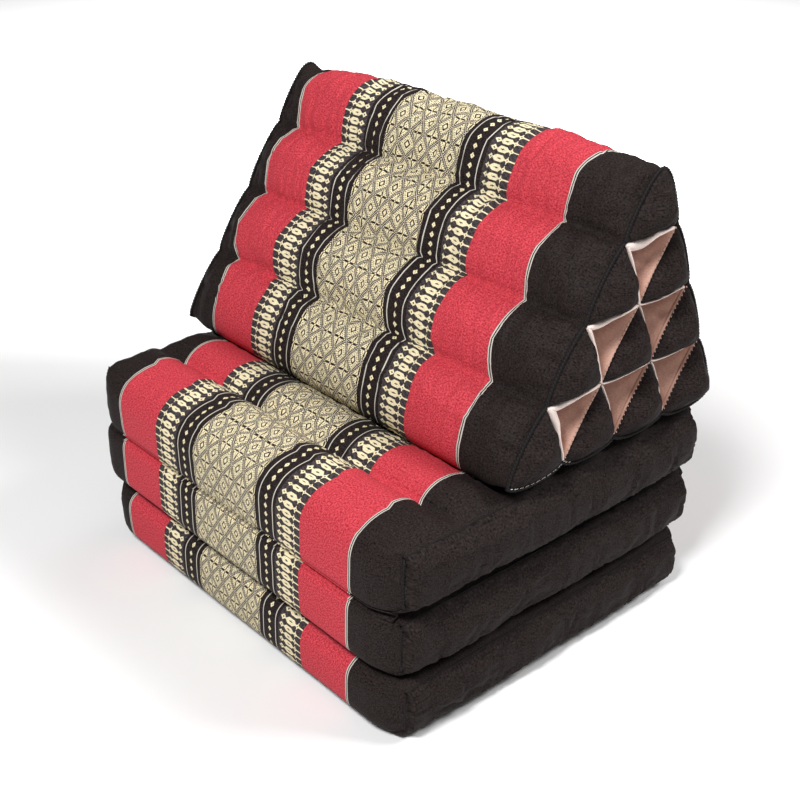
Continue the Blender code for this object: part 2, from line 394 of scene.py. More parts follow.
def build_threads():
    """Takes the cloth's place, gives a slub mask, a grain mask and the height of the weave."""
    tree, start, end = new_group(
        "threads", {"U": 0.0, "V": 0.0},
        {"Slub": "NodeSocketFloat", "Grain": "NodeSocketFloat", "Height": "NodeSocketFloat"},
    )
    u = Wire(tree, start.outputs["U"])
    v = Wire(tree, start.outputs["V"])
    slub = noise_at(tree, u, v, 900, 110, 3.0) * 0.5 + noise_at(tree, v, u, 900, 110, 3.0) * 0.5
    grain = noise_at(tree, u, v, 560, 560, 4.0)
    weave = (u.to_nearest(0.0009) + v.to_nearest(0.0009)) * 900
    height = weave * 0.5 + slub * 0.6
    tree.links.new((slub - 0.34).math("MULTIPLY", 3.4).socket, end.inputs["Slub"])
    tree.links.new(((grain - 0.5) * 4.0 + 0.5).socket, end.inputs["Grain"])
    tree.links.new(height.socket, end.inputs["Height"])
    return tree


threads = build_threads()
print("thread group:", [socket.name for socket in threads.interface.items_tree])

# %% [markdown]
# ## Bands and motifs
# From the middle outwards: a lattice of small diamonds, black with a fine white line, a chain of little
# diamonds, another white line, a band of woven motifs on mottled ground, red, a double pale line, black. It
# is mirrored about the middle, so the chart starts with the distance from it. Positions are in millimetres.

# %% Chart the bands
CREAM = (0.89, 0.81, 0.56)
WARM_CREAM = (0.58, 0.45, 0.24)
INK = (0.0020, 0.0012, 0.0013)
GREY_THREAD = (0.040, 0.029, 0.027)
RED = (0.66, 0.075, 0.095)
DEEP_RED = (0.36, 0.022, 0.036)
PALE_LINE = (0.60, 0.56, 0.50)
BEIGE = (0.66, 0.58, 0.48)
CELL_WIDE = 22.0
CELL_TALL = 30.0
CHAIN_PITCH = 10.3
MOTIF_PITCH = 9.6
CELL_SIDE = math.hypot(CELL_WIDE, CELL_TALL) / 2
DOT_PITCH = 2.3
LATTICE_END = 57.3
LINES = (64.2, 86.9)
MOTIFS_START = 92.0
RED_START = 132.2
RED_END = 207.7


def diamond(du, dv, reach_u, reach_v):
    """The distance from a diamond's middle, 1 at its edge."""
    return du / reach_u + dv / reach_v


def lattice(u, v):
    """1 where the lattice in the middle shows its dark thread, and 1 where it shows the beige of its lines.
    Cells with a small diamond alternate with cells that hold a flower of four petals."""
    p = u.to_nearest(CELL_WIDE) / (CELL_WIDE / 2)
    q = v.to_nearest(CELL_TALL) / (CELL_TALL / 2)
    total = p + q
    ring = total.least(total * -1 + 2)
    in_diamond = total.below(1.0)
    dots = ((p - q) * CELL_SIDE / 2).to_nearest(DOT_PITCH).below(DOT_PITCH * 0.24)
    between_dots = dots * -1 + 1
    line = ring.above(0.962)
    edge = ring.between(0.835, 0.962).most(ring.between(0.68, 0.80) * between_dots)
    diamond_cell = ring.between(0.20, 0.37).most(ring.between(0.49, 0.61) * dots)
    far_p = p * -1 + 1
    far_q = q * -1 + 1
    to_axis = far_p.least(far_q)
    notches = to_axis.below(0.070) * ring.between(0.10, 0.58)
    corners = to_axis.below(0.080) * ring.between(0.60, 0.68)
    petals = ring.between(0.44, 0.54) * between_dots
    flower_cell = notches.most(corners).most(petals)
    dark = edge.most(diamond_cell * in_diamond).most(flower_cell * (in_diamond * -1 + 1))
    return dark, line


def motif(u, v):
    """1 where the motif band shows its pale thread: a small diamond with a hole, a slit oval, a star and a
    short stem that ends at the red, with a bead between each two."""
    dv = v.to_nearest(MOTIF_PITCH)
    from_small = abs(u - 98.0)
    hole = diamond(from_small, dv, 1.3, 1.1).below(1.0)
    small = diamond(from_small, dv, 4.2, 3.4).below(1.0) * (hole * -1 + 1)
    beads = diamond(abs(u - 103.1), dv, 1.6, 1.6).most(dv / 1.2).below(1.0)
    beads = beads.most(diamond(abs(u - 118.2), dv, 1.6, 1.6).below(1.0))
    from_oval = abs(u - 110.7)
    oval = diamond(from_oval, dv, 9.6, 6.4).most(dv / 3.6).most(from_oval / 6.9).below(1.0)
    slit = diamond(from_oval, dv, 3.4, 0.9).below(1.0)
    from_star = abs(u - 122.3)
    star = diamond(from_star, dv, 4.4, 2.2).below(1.0).most(diamond(from_star, dv, 1.5, 4.6).below(1.0))
    notch = diamond(from_star, dv, 0.9, 0.9).below(1.0)
    stem = dv.below(0.7) * u.between(123.5, RED_START)
    return small.most(beads).most(oval * (slit * -1 + 1)).most(star * (notch * -1 + 1)).most(stem)


def build_bands():
    """The whole width of the cloth, from its place in metres."""
    tree, start, end = new_group(
        "woven_bands", {"U": 0.0, "V": 0.0, "Slub": 0.5, "Grain": 0.5},
        {"Color": "NodeSocketColor", "Height": "NodeSocketFloat"},
    )
    slub = Wire(tree, start.outputs["Slub"])
    grain = Wire(tree, start.outputs["Grain"])
    u = abs(Wire(tree, start.outputs["U"]) * 1000)
    v = Wire(tree, start.outputs["V"]) * 1000
    fine = u.snapped(0.5)
    fine_v = v.snapped(0.5)
    ink = mixed(tree, (slub * 0.35 + grain * 0.55).math("MINIMUM", 1.0), INK, GREY_THREAD)
    red = mixed(tree, grain.math("MINIMUM", 1.0), RED, DEEP_RED)
    picks = (u.to_nearest(1.5) + v.to_nearest(1.7)).below(0.62)
    cream = mixed(tree, (grain * 0.4 + picks * 0.35).math("MINIMUM", 1.0), CREAM, WARM_CREAM)
    dark, line = lattice(fine, fine_v)
    pale = dark * -1 + 1
    colour = mixed(tree, u.below(LATTICE_END) * pale, ink, mixed(tree, line, cream, BEIGE))
    height = u.below(LATTICE_END) * pale
    chain_v = fine_v.to_nearest(CHAIN_PITCH)
    chain = diamond(abs(fine - 75.5), chain_v, 2.7, 3.3)
    beads = chain.below(1.0) * chain.above(0.20)
    colour = mixed(tree, beads, colour, cream)
    hairs = abs(u - LINES[0]).below(0.62) + abs(u - LINES[1]).below(0.62)
    colour = mixed(tree, hairs, colour, PALE_LINE)
    mottle = (fine_v + fine * 0.7).to_nearest(5.2).below(0.9) * 0.3 + slub * 0.4 + grain * 0.35
    ground = mixed(tree, mottle * u.between(MOTIFS_START, RED_START), colour, (0.085, 0.070, 0.076))
    woven = motif(fine, fine_v) * u.between(MOTIFS_START, RED_START)
    colour = mixed(tree, woven, ground, cream)
    colour = mixed(tree, u.between(RED_START, RED_END), colour, red)
    border = abs(u - (RED_END + 0.9)).below(0.6) + abs(u - (RED_END + 3.4)).below(0.6)
    colour = mixed(tree, u.between(RED_END, RED_END + 4.4), colour, (0.050, 0.042, 0.038))
    colour = mixed(tree, border, colour, PALE_LINE)
    tree.links.new(colour, end.inputs["Color"])
    tree.links.new((height.most(woven).most(beads).most(hairs)).socket, end.inputs["Height"])
    return tree


bands = build_bands()
print("band group has", len(bands.nodes), "nodes")

# %% [markdown]
# ## Cloth materials
# Cotton is matt, with a soft sheen at grazing angles. The banded cover, the black cloth of the panels and
# ends, the pink lining and the sewing thread each get a Principled shader with the thread group feeding
# colour and bump. The lining's shader is made twice: a darker pink with painted shade for the pocket walls,
# and a near-white pink with painted light for the lips.

# %% Make the cloths
def grouped(tree, group, **links):
    """Places a node group and links or sets its inputs."""
    node = tree.nodes.new("ShaderNodeGroup")
    node.node_tree = group
    for name, value in links.items():
        tree.links.new(value, node.inputs[name])
    return node


def cloth_material(name, banded, dark=INK, light=GREY_THREAD, bump=0.35):
    """A woven cloth. Banded cloth takes its colour from the chart, and plain cloth mixes two thread colours."""
    material = bpy.data.materials.new(name)
    material.use_nodes = True
    tree = material.node_tree
    shader = tree.nodes["Principled BSDF"]
    place = tree.nodes.new("ShaderNodeUVMap")
    place.uv_map = "cloth"
    split = tree.nodes.new("ShaderNodeSeparateXYZ")
    tree.links.new(place.outputs[0], split.inputs[0])
    u, v = split.outputs[0], split.outputs[1]
    thread = grouped(tree, threads, U=u, V=v)
    height = Wire(tree, thread.outputs["Height"]) * 0.5
    if banded:
        chart = grouped(tree, bands, U=u, V=v, Slub=thread.outputs["Slub"], Grain=thread.outputs["Grain"])
        colour = chart.outputs["Color"]
        height = height + Wire(tree, chart.outputs["Height"]) * 0.5
    else:
        lit = Wire(tree, thread.outputs["Slub"]) * 0.4 + Wire(tree, thread.outputs["Grain"]) * 0.5
        colour = mixed(tree, lit.math("MINIMUM", 1.0), dark, light)
    tree.links.new(colour, shader.inputs["Base Color"])
    relief = tree.nodes.new("ShaderNodeBump")
    relief.inputs["Distance"].default_value = 0.0006
    relief.inputs["Strength"].default_value = bump
    tree.links.new(height.socket, relief.inputs["Height"])
    tree.links.new(relief.outputs[0], shader.inputs["Normal"])
    shader.inputs["Roughness"].default_value = 0.66
    shader.inputs["Specular IOR Level"].default_value = 0.07
    shader.inputs["Sheen Weight"].default_value = 0.005
    shader.inputs["Sheen Roughness"].default_value = 0.5
    return material


banded_cloth = cloth_material("banded_cloth", True)
black_cloth = cloth_material("black_cloth", False)
# The pocket lining is one pale pink cloth, given here twice: a darker pink with painted shade for the pocket
# walls, and a near-white pink with painted light for the lips turned over the mouths.
SHADED_PINK = (0.49, 0.28, 0.22)
SHADED_PINK_LIGHT = (0.62, 0.39, 0.315)
LIT_PALE_PINK = (0.93, 0.80, 0.74)
shaded_lining_cloth = cloth_material("shaded_lining_cloth", False, SHADED_PINK, SHADED_PINK_LIGHT, bump=0.15)
lit_lip_cloth = cloth_material("lit_lip_cloth", False, (0.88, 0.72, 0.65), LIT_PALE_PINK, bump=0.15)
black_thread = plain_material("black_thread", (0.011, 0.009, 0.009), 0.6)
pink_thread = plain_material("pink_thread", (0.62, 0.38, 0.31), 0.7)
pale_thread = plain_material("pale_thread", (0.75, 0.70, 0.64), 0.7)

# %% [markdown]
# ## Folds and puckers
# Wherever cloth is sewn through, its spare width gathers into short puckers that stand square to the seam
# and die out over two or three centimetres. Stuffing also pushes cloth up unevenly. Both are small moves of
# each point along its normal, from smooth noise that is stretched across the seam.

# %% Move points along their normals
def moved_along_normals(piece, how_far):
    """how_far takes a point's index and place and gives a distance."""
    mesh = piece.data
    normals = [vert.normal.copy() for vert in mesh.vertices]
    shifts = [how_far(vert.index, vert.co) for vert in mesh.vertices]
    for vert, normal, shift in zip(mesh.vertices, normals, shifts):
        vert.co += normal * shift


def puckers(along, off_seam, seam, reach, spacing):
    """Puckers beside a seam: how high the cloth stands at a distance off the seam, from -1 to 1."""
    fade = math.exp(-off_seam / reach) * min(1.0, off_seam / (reach * 0.35))
    return fade * ripple(along / spacing, seam * 7.31, off_seam / (reach * 3.0)) * 1.6


# %% [markdown]
# ## Letting the stuffing push
# The last step of each filled piece is Blender's Cloth, because only real buckling looks like real puckers.
# The cover gets a little more cloth than the shape needs, pressure inside and no gravity, and every point that
# is sewn or lies against a neighbour is held. A dozen frames are enough for the spare cloth to gather beside
# the seams. How far a point may move is capped, and the result is applied, so no simulation stays behind. On a
# mat only the side panels are let free, because its tubes already lie pressed between their neighbours.

# %% Settle a filled piece
SPARE_CLOTH = 0.035
PRESSURE = 3.0
FARTHEST_MOVE = 0.0065
MAT_FRAMES = 7
WEDGE_FRAMES = 11


def hold(piece, indices):
    """Marks the points of a piece that are sewn down or pressed against something."""
    piece.vertex_groups.new(name="held").add(indices, 1.0, "REPLACE")


def settle(piece, frames):
    """Runs the cloth of a filled piece for a few frames, caps each point's move and applies it."""
    before = [vert.co.copy() for vert in piece.data.vertices]
    cloth = piece.modifiers.new("stuffing", "CLOTH")
    cloth.collision_settings.use_collision = False
    settings = cloth.settings
    settings.quality = 3
    settings.mass = 0.15
    settings.tension_stiffness = settings.compression_stiffness = 25
    settings.shear_stiffness = 8
    settings.bending_stiffness = 0.02
    settings.use_pressure = True
    settings.uniform_pressure_force = PRESSURE
    settings.shrink_min = -SPARE_CLOTH
    settings.vertex_group_mass = "held"
    settings.effector_weights.gravity = 0
    for frame in range(1, frames + 1):
        bpy.context.scene.frame_set(frame)
    bpy.ops.object.select_all(action="DESELECT")
    piece.select_set(True)
    bpy.context.view_layer.objects.active = piece
    bpy.ops.object.modifier_apply(modifier=cloth.name)
    farthest = 0.0
    for vert, start in zip(piece.data.vertices, before):
        move = vert.co - start
        farthest = max(farthest, move.length)
        vert.co = start + move * min(1.0, FARTHEST_MOVE / max(move.length, 1e-9))
    bpy.context.scene.frame_set(1)
    print(piece.name, "settled, farthest move before the cap", round(farthest * 1000, 1), "mm")


# %% [markdown]
# ## A mat
# A mat starts as a cube, cut finely along each of its three directions, and every point of it is then
# carried onto the stuffed shape: top and underside become six tubes with sewn grooves between them, front
# and back are full rounds, and the two ends are puffed panels. Starting from a cube keeps every corner of the
# cover in one closed mesh, with rows of points that follow the tubes.

# %% Shape a mat
def mat_skin(mat, floor, x, v, side):
    """(y, z) on a mat's skin at x from its middle. side runs from -1, the underside, to 1, the top, and
    between them only at its rounded front and back."""
    end = near_end(x, mat.half, END_FADE)
    upper = floor + mat.thickness - mat.drop * end
    lower = floor + mat.low_lift * end
    crest = (MAT_TUBES - 1) / 2 * MAT_PITCH
    crest_share = 1 - 1 / MAT_TUBES
    if abs(v) > crest_share + 1e-6:
        out = (abs(v) - crest_share) / (1 - crest_share)
        angle = abs(side) * (math.pi / 2 - (math.pi / 2 - EDGE_ANGLE) * out)
        power = mat.upper_round if side > 0 else mat.lower_round
        power += (CORNER_ROUNDNESS - power) * end
        reach = mat.depth / 2 + FRONT_BULGE * (1 - end) - crest
        y = math.copysign(crest + reach * math.cos(angle) ** power, v)
        rise = (upper - lower) / 2 * math.sin(angle) ** power
        return y + mat.off_y, (upper + lower) / 2 + math.copysign(rise, side)
    y = v / crest_share * crest
    across = (v + 1) / 2 * MAT_TUBES % 1
    fade = 1 - end * (1 - GROOVE_LEFT_AT_END)
    if mat is MATS[-1] and side > 0:
        rise = CREST_RISE * (1 - end) * (y < FRONT_SEAM.x)
        shape = tube(across) if y < FRONT_SEAM.x else pressed_tube(across)
        return y + mat.off_y, upper + rise - (TOP_GROOVE + rise) * fade * (1 - shape)
    dent = HIDDEN_GROOVE * fade * (1 - pressed_tube(across))
    return y + mat.off_y, (upper - dent) if side > 0 else (lower + dent)


def mat_point(mat, floor, u, v, w):
    """Carries a point of a cube from -1 to 1 each way onto the mat: u is along X, v along Y and w up."""
    share = (w + 1) / 2
    if abs(v) > 1 - 1e-6:
        y, z = mat_skin(mat, floor, u * mat.half, v, w)
    else:
        low = mat_skin(mat, floor, u * mat.half, v, -1)
        high = mat_skin(mat, floor, u * mat.half, v, 1)
        y, z = (a + (b - a) * share for a, b in zip(low, high))
    x = u * (mat.half - mat.low_inset * (1 - share))
    if abs(u) > 1 - 1e-6:
        x += math.copysign(mat.puff * (1 - w * w) * (1 - v ** 6), u)
    return Vector((x + mat.off_x, y, z)) + FOLD_CENTRE


def rounded_off(off, radius, on_panel):
    """How a square edge is rounded: (inwards from the panel, inwards from the face) for a point that lies off
    from the seam, on the panel or on the face beside it."""
    if off >= radius:
        return 0.0, 0.0
    turn = math.pi / 4 * (1 - off / radius)
    here = (radius * (1 - math.cos(turn)), radius - off - radius * math.sin(turn))
    return here if on_panel else (here[1], here[0])


def soften_edges(mat, grid, spots):
    """Rounds the edges round both side panels, as stuffing does."""
    middle = FOLD_CENTRE + Vector((mat.off_x, mat.off_y, 0))
    for place, spot in zip(grid, spots):
        u, v, w = place
        on_panel = abs(u) > 1 - 1e-5
        to_panel = (1 - abs(u)) * mat.half
        to_face = (1 - abs(w)) * mat.thickness / 2
        to_front = (1 - abs(v)) * mat.depth / 2
        if on_panel or abs(w) > 1 - 1e-5:
            radius = EDGE_ROUND_TOP if w > 0 else EDGE_ROUND_LOW
            shift = rounded_off(to_face if on_panel else to_panel, radius, on_panel)
            spot.x -= math.copysign(shift[0], u)
            spot.z -= math.copysign(shift[1], w)
        if on_panel or abs(v) > 1 - 1e-5:
            shift = rounded_off(to_front if on_panel else to_panel, CORNER_ROUND, on_panel)
            spot.x -= math.copysign(shift[0], u)
            spot.y -= math.copysign(shift[1], v)


def cut_cube(name, cuts):
    """A cube from -1 to 1, cut along each axis in turn."""
    cube = fresh(name, bpy.ops.mesh.primitive_cube_add, size=2)
    bpy.ops.object.mode_set(mode="EDIT")
    bpy.ops.mesh.select_mode(type="EDGE")
    for axis, count in enumerate(cuts):
        bm = bmesh.from_edit_mesh(cube.data)
        for edge in bm.edges:
            edge.select_set(abs(edge.verts[0].co[axis] - edge.verts[1].co[axis]) > 1.9)
        bmesh.update_edit_mesh(cube.data)
        bpy.ops.mesh.subdivide(number_cuts=count - 1)
    bpy.ops.object.mode_set(mode="OBJECT")
    return cube


# %% [markdown]
# The cloth's length is measured round the mat once, along its middle: under it from back to front, up the
# front, over the top and down the back.

# %% Measure the cloth round a mat
def lengths_round(mat, floor):
    """{(row, level): length of cloth from the underside's back edge}, for the grid lines round the mat."""
    rows, levels = MAT_CUTS[1:]
    path = [(row, 0) for row in range(rows, -1, -1)]
    path += [(0, level) for level in range(1, levels + 1)]
    path += [(row, levels) for row in range(1, rows + 1)]
    path += [(rows, level) for level in range(levels - 1, -1, -1)]
    lengths = {}
    total = 0.0
    last = None
    for row, level in path:
        here = mat_point(mat, floor, 0, 2 * row / rows - 1, 2 * level / levels - 1)
        total += (here - last).length if last else 0.0
        lengths.setdefault((row, level), total)
        last = here
    return lengths


# %% [markdown]
# The spare cloth of a mat gathers beside its grooves and at its side seams, and its end panels hang in soft
# upright folds, more of them towards the back, where the weight of the triangle presses on them.

# %% Crumple a mat
PANEL_FOLD = 0.0055
PANEL_FOLD_BEND = 0.016
PANEL_FOLD_ON_LOWER_MATS = 0.45
PANEL_SOFT = 0.0014
PANEL_LUMP = 0.0022
SEWN_PUCKER = 0.0034
END_PUCKER = 0.0030
PANEL_PUCKER = 0.0040
FRONT_PUCKER = 0.0036
UNEVEN = 0.0016


def mat_crumple(mat, grid):
    """How far each point of a mat moves along its normal."""
    seed = mat.thickness * 100

    def panel(u, v, w, spot):
        bent = spot.y + PANEL_FOLD_BEND * (w - 0.1) ** 2
        crest = max(0.0, 1 - abs(ripple(bent / 0.021, w * 0.35, seed + u)) / 0.30) ** 1.5
        soft = ripple(bent / 0.018, w * 0.6, seed * 2 + u)
        lump = ripple(spot.y / 0.07, w, seed * 3 + u)
        rear = 0.15 + 0.85 * smooth(v * 1.3 + 0.35)
        high = smooth(1.15 + w) * (1 - w ** 6)
        gathered = puckers(spot.z, (1 - abs(v)) * mat.depth / 2, 5 + u + seed, 0.012, 0.0062) * PANEL_PUCKER
        loose = 1.0 if mat is MATS[-1] else PANEL_FOLD_ON_LOWER_MATS
        folds = PANEL_FOLD * crest * ripple(bent / 0.05, 0.5, seed) * 2 + PANEL_SOFT * soft
        to_corner = min(1.0, (1 - abs(v)) * mat.depth / 0.008)
        return folds * rear * high * loose + (PANEL_LUMP * lump + gathered) * (1 - w ** 4) * to_corner

    def face(u, v, w, spot):
        x = u * mat.half
        to_end = mat.half - abs(x)
        groove = (v + 1) * MAT_TUBES / 2
        off = abs(groove - round(groove)) * MAT_PITCH
        free = 1.0 if mat is MATS[-1] and w > 0 and spot.y < FRONT_SEAM.x else 0.0
        sewn = puckers(x, off, round(groove) + seed, 0.016, 0.0080) * SEWN_PUCKER
        gathered = puckers(spot.y, to_end, 1 + u + seed, 0.022, 0.010) * END_PUCKER
        uneven = ripple(x / 0.09, v * 2.2, seed) * UNEVEN * tube(groove % 1)
        return (sewn + gathered + uneven) * free * min(1.0, to_end / 0.004)

    def front(u, v, w, spot):
        x = u * mat.half
        to_end = mat.half - abs(x)
        uneven = ripple(x / 0.08, spot.z / 0.05, seed) * UNEVEN
        gathered = puckers(spot.z, to_end, 3 + u + seed, 0.013, 0.0062) * FRONT_PUCKER
        return (uneven + gathered) * min(1.0, to_end / 0.004) * (1 - w * w)

    def how_far(index, spot):
        u, v, w = grid[index]
        if abs(u) > 1 - 1e-5:
            return panel(u, v, w, spot)
        if abs(w) > 1 - 1e-5:
            return face(u, v, w, spot) if abs(v) < 1 - 1e-5 else 0.0
        return front(u, v, w, spot)

    return how_far


HELD_LEVELS = MAT_CUTS[2] // 8


def is_held(cell):
    """True for all points of a mat but those inside its two side panels, above their lowest rows."""
    column, row, level = cell
    columns, rows, levels = MAT_CUTS
    return column not in (0, columns) or row in (0, rows) or level < HELD_LEVELS or level == levels


def build_mat(mat, floor, first_v):
    """One mat. Its cloth is laid so that the lower edge of its front is at first_v."""
    piece = cut_cube(mat.name + "_cover", MAT_CUTS)
    grid = [vert.co.copy() for vert in piece.data.vertices]
    cells = [tuple(round((c + 1) / 2 * cuts) for c, cuts in zip(place, MAT_CUTS)) for place in grid]
    for vert, place in zip(piece.data.vertices, grid):
        vert.co = mat_point(mat, floor, *place)
    soften_edges(mat, grid, [vert.co for vert in piece.data.vertices])
    lengths = lengths_round(mat, floor)
    start = first_v - lengths[0, 0]

    def uv_at(face, index):
        if {cells[n][0] for n in face.vertices} in ({0}, {MAT_CUTS[0]}):
            spot = piece.data.vertices[index].co
            return BLACK_PART + spot.y, spot.z
        slip = SEAT_SLIP if mat is MATS[-1] else 0.0
        return grid[index].x * mat.half + mat.off_x - PATTERN_MIDDLE - slip, start + lengths[cells[index][1:]]

    lay_cloth(piece, uv_at)
    for face in piece.data.polygons:
        face.material_index = int(all(cells[n][2] == 0 for n in face.vertices))
    moved_along_normals(piece, mat_crumple(mat, grid))
    hold(piece, [index for index, cell in enumerate(cells) if is_held(cell)])
    settle(piece, MAT_FRAMES)
    finish_piece(piece, banded_cloth, black_cloth)
    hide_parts(mat.name)
    return start + lengths[0, 0], start + lengths[0, MAT_CUTS[2]]


# %% Build the three mats
PATTERN_MIDDLE = -0.006
SEAT_SLIP = 0.005
CREASE_CLOTH = 0.012
floors = [0.0]
for mat in MATS:
    floors.append(floors[-1] + mat.thickness + GAP)
next_v = 0.0
for mat, level in reversed(list(zip(MATS, floors))):
    low_v, high_v = build_mat(mat, level, next_v)
    next_v -= high_v - low_v + CREASE_CLOTH

# %% [markdown]
# ## The triangle
# The triangle's skin is one wide cloth rolled into a prism: four tubes up the front, four down the back and
# four under it. It starts as a flat grid, one row of points for each step round the prism, and each point is
# carried onto the stuffed shape. The ends are sewn on as triangles.

# %% Shape the triangle's skin
def end_point(down, across):
    """(y, z) in the end triangle: down is the share of the way from ridge to base, across the share of the
    base's length that the point lies from the front seam's side."""
    return RIDGE * (1 - down) + FRONT_SEAM * (down - across) + BACK_SEAM * across


CENTRE = end_point(2 / 3, 1 / 3)
SIDES = ((FRONT_SEAM, RIDGE), (RIDGE, BACK_SEAM), (BACK_SEAM, FRONT_SEAM))


def outward(start, stop):
    """The direction across the line from start to stop that leads away from the middle of the triangle."""
    along = (stop - start).normalized()
    across = Vector((-along.y, along.x))
    return across if across.dot(start - CENTRE) > 0 else -across


def side_point(x, step):
    """A point on one of the triangle's three tubed sides, before its corners are rounded."""
    side, along = divmod(step % (3 * STEPS), STEPS)
    start, stop = SIDES[side]
    share = along / STEPS
    end = near_end(x, WEDGE_HALF, TUBE_FADE)
    end_bulge = BASE_BULGE_AT_END if start is BACK_SEAM else TUBE_BULGE_AT_END
    bulge = TUBE_BULGE + (end_bulge - TUBE_BULGE) * end
    crown = FACE_CROWN * (1 - near_end(x, WEDGE_HALF, CROWN_FADE)) * math.sqrt(1 - (2 * share - 1) ** 2)
    return start + (stop - start) * share + outward(start, stop) * (crown + bulge * tube(share * CELLS % 1))


def ridge_point(x, t):
    """A point of the round over the ridge: t runs from 0, the crest of the front's last tube, to 1, the crest
    of the back's first."""
    half_tube = CELL_STEPS // 2
    first, last = side_point(x, STEPS - half_tube), side_point(x, STEPS + half_tube)
    pull = RIDGE_PULL + (RIDGE_PULL_AT_END - RIDGE_PULL) * near_end(x, WEDGE_HALF, TUBE_FADE)
    up = first + (RIDGE - FRONT_SEAM).normalized() * pull
    over = last + (RIDGE - BACK_SEAM).normalized() * pull
    return first * (1 - t) ** 3 + up * 3 * t * (1 - t) ** 2 + over * 3 * t * t * (1 - t) + last * t ** 3


def skin_point(x, step):
    """A point of the triangle's skin at x: step counts from the front seam over the ridge and back round."""
    half_tube = CELL_STEPS / 2
    if abs(step - STEPS) < half_tube:
        point = ridge_point(x, (step - STEPS) / CELL_STEPS + 0.5)
    else:
        point = side_point(x, step)
    to_seam = min(abs(step - seam) for seam in (0, 2 * STEPS, 3 * STEPS))
    sag = SEAM_SAG * (1 - near_end(x, WEDGE_HALF, TUBE_FADE))
    point.y -= sag * max(0.0, 1 - to_seam / 5) ** 2
    return Vector((x + WEDGE_OFF_X, point.x, max(point.y, SEAT))) + FOLD_CENTRE


def end_x(side):
    """Where the end seams lie, at the left (-1) or right (1) end."""
    return side * WEDGE_HALF + WEDGE_OFF_X


# %% [markdown]
# ## The lattice ends
# Each end is a triangle of sixteen small ones. The ten that point up are stuffed and puff outwards, and the
# six that point down are drawn in as pockets. A triangle that is subdivided evenly has its points exactly on
# that lattice, so each point only needs to know which small cell it is in and how deep inside it is.

# %% Shape an end
def in_cell(row, place):
    """What a lattice point of an end does: how far it is inside a stuffed cell, and inside a pocket, 0 to 1."""
    a, b = row % CELL_STEPS, place % CELL_STEPS
    if 0 < b < a:
        return 27 * (CELL_STEPS - a) * (a - b) * b / CELL_STEPS ** 3, 0.0
    if 0 < a < b:
        return 0.0, 3 * min(a, CELL_STEPS - b, b - a) / CELL_STEPS
    return 0.0, 0.0


def end_grid_point(row, place, side):
    """Carries a lattice point onto the end."""
    stuffed, pocket = in_cell(row, place)
    if place == 0:
        return skin_point(side * WEDGE_HALF, STEPS - row)
    if place == row:
        return skin_point(side * WEDGE_HALF, STEPS + row)
    if row == STEPS:
        return skin_point(side * WEDGE_HALF, 3 * STEPS - place)
    out = CELL_PUFF * stuffed ** 0.62 - POCKET_DEPTH * min(1.0, pocket * 4)
    crease = ripple(row / 5.2, place / 5.2, side * 7.7) * 0.0034 + ripple(row / 2.3, place / 2.3, side) * 0.0010
    out += crease * min(1.0, stuffed * 2.5)
    down, across = bowed(row, place)
    spot = end_point(down / STEPS, across / STEPS)
    return Vector((end_x(side) + side * out, spot.x, spot.y)) + FOLD_CENTRE


def bowed(row, place):
    """The lattice place of a point, moved where a stuffed cell bows out the edge of the pocket beside it."""
    a, b = row % CELL_STEPS, place % CELL_STEPS
    bow = EDGE_BOW_STEPS * 4 / CELL_STEPS ** 2
    if a == 0 and b:
        return row + bow * b * (CELL_STEPS - b), place + bow * b * (CELL_STEPS - b) / 2
    if b == 0 and a:
        return row - bow * a * (CELL_STEPS - a) / 2, place - bow * a * (CELL_STEPS - a)
    if a == b and a:
        return row - bow * a * (CELL_STEPS - a) / 2, place + bow * a * (CELL_STEPS - a) / 2
    return row, place


def skin_crumple(x, step):
    """How far a point of the triangle's skin is pushed out: puckers beside the grooves and the end seams."""
    to_end = WEDGE_HALF - abs(x)
    groove = step / CELL_STEPS
    off = abs(groove - round(groove)) * 0.085
    sewn = puckers(x, off, round(groove) * 1.7 + 40, 0.018, 0.0085) * 0.0036
    gathered = puckers(step * 0.0043, to_end, 60 + math.copysign(1, x), 0.020, 0.0095) * 0.0034
    uneven = ripple(x / 0.075, step / 15.0, 3.3) * 0.0030 + ripple(x / 0.03, step / 7.0, 8.1) * 0.0012
    seam = min(abs(step - line) for line in (0, 2 * STEPS, 3 * STEPS)) / 6
    return (sewn + gathered + uneven) * min(1.0, to_end / 0.006) * min(1.0, seam)


def build_end(side):
    """An evenly subdivided triangle, carried onto the end, with its lattice place kept for each point."""
    piece = fresh(f"end_{side}", bpy.ops.mesh.primitive_circle_add, vertices=3, fill_type="NGON")
    for vert, corner in zip(piece.data.vertices, ((0, 0, 0), (STEPS, 0, 0), (STEPS, STEPS, 0))):
        vert.co = corner
    bpy.ops.object.mode_set(mode="EDIT")
    bpy.ops.mesh.select_all(action="SELECT")
    bpy.ops.mesh.subdivide(number_cuts=STEPS - 1)
    bpy.ops.object.mode_set(mode="OBJECT")
    lattice_places = [(round(vert.co.x), round(vert.co.y)) for vert in piece.data.vertices]
    for vert, (row, place) in zip(piece.data.vertices, lattice_places):
        vert.co = end_grid_point(row, place, side)
    hold(piece, [n for n, spot in enumerate(lattice_places) if in_cell(*spot)[0] == 0])
    return piece


def skin_faces_inwards(piece):
    """True if the faces of the rolled skin point to its middle."""
    middle = FOLD_CENTRE + Vector((WEDGE_OFF_X, *CENTRE))
    return sum((face.center - middle).dot(face.normal) for face in piece.data.polygons) < 0


